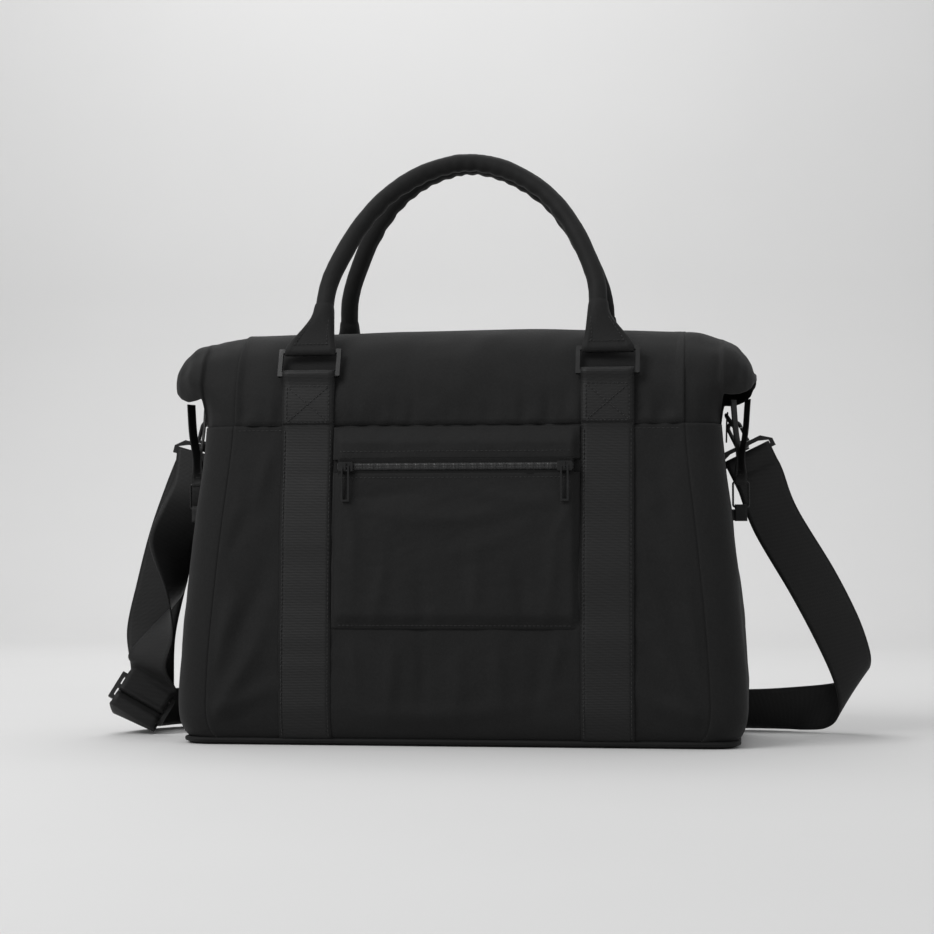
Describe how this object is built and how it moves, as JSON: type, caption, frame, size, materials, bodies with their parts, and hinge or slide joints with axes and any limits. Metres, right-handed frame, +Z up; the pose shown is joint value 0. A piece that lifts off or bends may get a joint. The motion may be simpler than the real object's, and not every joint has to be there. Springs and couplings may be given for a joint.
{
  "type": "weekender bag",
  "caption": "Soft weekender bag with a yoked, zipped top, two arched carry handles on rings, a zipped front pocket and a shoulder strap on snap hooks.",
  "frame": {"origin": "The middle of the base, on the surface that the bag stands on.", "axes": "+X to the right seen from the front, -Y to the front, +Z up."},
  "size_m": [0.7615, 0.2593, 0.578],
  "materials": {
    "shell_cloth": "matte woven nylon",
    "lining_cloth": "thin plain-weave lining",
    "webbing": "ribbed flat webbing",
    "handle_cloth": "matte woven nylon over a soft core",
    "zip_cloth": "herringbone zip tape and coil",
    "black_metal": "satin black plated wire and plate",
    "black_nylon": "satin moulded nylon",
    "core_foam": "soft round core",
    "board": "stiff base board",
    "piping": "woven piping"
  },
  "bodies": {
    "bag": {"front_panel": "shell_cloth", "back_panel": "shell_cloth", "left_gusset": "shell_cloth", "right_gusset": "shell_cloth", "front_yoke": "shell_cloth", "back_yoke": "shell_cloth", "left_ear": "shell_cloth", "right_ear": "shell_cloth", "pocket_panel": "shell_cloth", "pocket_header": "shell_cloth", "base_panel": "shell_cloth", "lining": "lining_cloth", "base_piping": "piping", "base_board": "board", "webbing_front_left": "webbing", "webbing_front_right": "webbing", "webbing_back_left": "webbing", "webbing_back_right": "webbing", "pocket_zip_tapes": "zip_cloth", "pocket_zip_coil": "zip_cloth", "top_zip_tapes": "zip_cloth", "top_zip_coil": "zip_cloth", "anchor_left": "webbing", "tether_left": "webbing", "tether_tab_left": "webbing", "eye_left": "black_metal", "tether_link_left": "black_metal", "anchor_right": "webbing", "tether_right": "webbing", "tether_tab_right": "webbing", "eye_right": "black_metal", "tether_link_right": "black_metal", "shoulder_strap": "webbing", "tri_glide": "black_nylon"},
    "ring_front_left": {"ring_front_left": "black_metal"},
    "ring_front_right": {"ring_front_right": "black_metal"},
    "handle_front": {"handle_front_cover": "handle_cloth", "handle_front_core": "core_foam", "handle_front_tabs": "handle_cloth"},
    "ring_back_left": {"ring_back_left": "black_metal"},
    "ring_back_right": {"ring_back_right": "black_metal"},
    "handle_back": {"handle_back_cover": "handle_cloth", "handle_back_core": "core_foam", "handle_back_tabs": "handle_cloth"},
    "pocket_slider_left": {"pocket_slider_left": "black_metal"},
    "pocket_pull_left": {"pocket_pull_left": "black_metal"},
    "pocket_slider_right": {"pocket_slider_right": "black_metal"},
    "pocket_pull_right": {"pocket_pull_right": "black_metal"},
    "top_slider_left": {"top_slider_left": "black_metal"},
    "top_pull_left": {"top_pull_left": "black_metal"},
    "top_slider_right": {"top_slider_right": "black_metal"},
    "top_pull_right": {"top_pull_right": "black_metal"},
    "d_ring_left": {"d_ring_left": "black_metal"},
    "hook_left": {"hook_left": "black_metal"},
    "gate_left": {"gate_left": "black_metal"},
    "d_ring_right": {"d_ring_right": "black_metal"},
    "hook_right": {"hook_right": "black_metal"},
    "gate_right": {"gate_right": "black_metal"}
  },
  "joints": [
    {"name": "ring_front_left_swing", "type": "hinge", "parent": "bag", "child": "ring_front_left", "pos_m": [0, -0.094, 0.352], "axis": [1, 0, 0], "range_deg": [0, 90]},
    {"name": "ring_front_right_swing", "type": "hinge", "parent": "bag", "child": "ring_front_right", "pos_m": [0, -0.094, 0.352], "axis": [1, 0, 0], "range_deg": [0, 90]},
    {"name": "handle_front_swing", "type": "hinge", "parent": "ring_front_left", "child": "handle_front", "pos_m": [0, -0.0849, 0.37528], "axis": [1, 0, 0], "range_deg": [0, 75]},
    {"name": "ring_back_left_swing", "type": "hinge", "parent": "bag", "child": "ring_back_left", "pos_m": [0, 0.094, 0.352], "axis": [-1, 0, 0], "range_deg": [0, 90]},
    {"name": "ring_back_right_swing", "type": "hinge", "parent": "bag", "child": "ring_back_right", "pos_m": [0, 0.094, 0.352], "axis": [-1, 0, 0], "range_deg": [0, 90]},
    {"name": "handle_back_swing", "type": "hinge", "parent": "ring_back_left", "child": "handle_back", "pos_m": [0, 0.0849, 0.37528], "axis": [-1, 0, 0], "range_deg": [0, 75]},
    {"name": "pocket_slider_left_travel", "type": "slide", "parent": "bag", "child": "pocket_slider_left", "axis": [1, 0, 0], "range_m": [0, 0.095]},
    {"name": "pocket_pull_left_swing", "type": "hinge", "parent": "pocket_slider_left", "child": "pocket_pull_left", "pos_m": [-0.1037, -0.11452, 0.263], "axis": [-1, 0, 0], "range_deg": [0, 170]},
    {"name": "top_slider_left_travel", "type": "slide", "parent": "bag", "child": "top_slider_left", "axis": [1, 0, 0], "range_m": [0, 0.165]},
    {"name": "top_pull_left_swing", "type": "hinge", "parent": "top_slider_left", "child": "top_pull_left", "pos_m": [-0.2067, 0, 0.39705], "axis": [0, -1, 0], "range_deg": [0, 170]},
    {"name": "pocket_slider_right_travel", "type": "slide", "parent": "bag", "child": "pocket_slider_right", "axis": [-1, 0, 0], "range_m": [0, 0.095]},
    {"name": "pocket_pull_right_swing", "type": "hinge", "parent": "pocket_slider_right", "child": "pocket_pull_right", "pos_m": [0.1037, -0.11452, 0.263], "axis": [-1, 0, 0], "range_deg": [0, 170]},
    {"name": "top_slider_right_travel", "type": "slide", "parent": "bag", "child": "top_slider_right", "axis": [-1, 0, 0], "range_m": [0, 0.165]},
    {"name": "top_pull_right_swing", "type": "hinge", "parent": "top_slider_right", "child": "top_pull_right", "pos_m": [0.2067, 0, 0.39705], "axis": [0, 1, 0], "range_deg": [0, 170]},
    {"name": "d_ring_left_swing", "type": "hinge", "parent": "bag", "child": "d_ring_left", "pos_m": [-0.2532, 0, 0.316], "axis": [0, 1, 0], "range_deg": [-6, 1.5]},
    {"name": "hook_left_swivel", "type": "hinge", "parent": "bag", "child": "hook_left", "pos_m": [-0.26907, 0, 0.29165], "axis": [0.2419, 0, 0.9703], "range_deg": [-12, 12]},
    {"name": "gate_left_swing", "type": "hinge", "parent": "hook_left", "child": "gate_left", "pos_m": [-0.26195, 0, 0.29544], "axis": [0, -1, 0], "range_deg": [0, 22], "stiffness_Nm_per_rad": 0.02, "springref_deg": -11.46},
    {"name": "d_ring_right_swing", "type": "hinge", "parent": "bag", "child": "d_ring_right", "pos_m": [0.2532, 0, 0.316], "axis": [0, 1, 0], "range_deg": [-3.5, 6]},
    {"name": "hook_right_swivel", "type": "hinge", "parent": "bag", "child": "hook_right", "pos_m": [0.26864, 0, 0.2884], "axis": [-0.4384, 0, 0.8988], "range_deg": [-12, 12]},
    {"name": "gate_right_swing", "type": "hinge", "parent": "hook_right", "child": "gate_right", "pos_m": [0.27167, 0, 0.29588], "axis": [0, -1, 0], "range_deg": [0, 22], "stiffness_Nm_per_rad": 0.02, "springref_deg": -11.46}
  ],
  "couplings": [
    {"joint": "ring_front_right_swing", "follows": "ring_front_left_swing", "ratio": 1},
    {"joint": "ring_back_right_swing", "follows": "ring_back_left_swing", "ratio": 1}
  ]
}
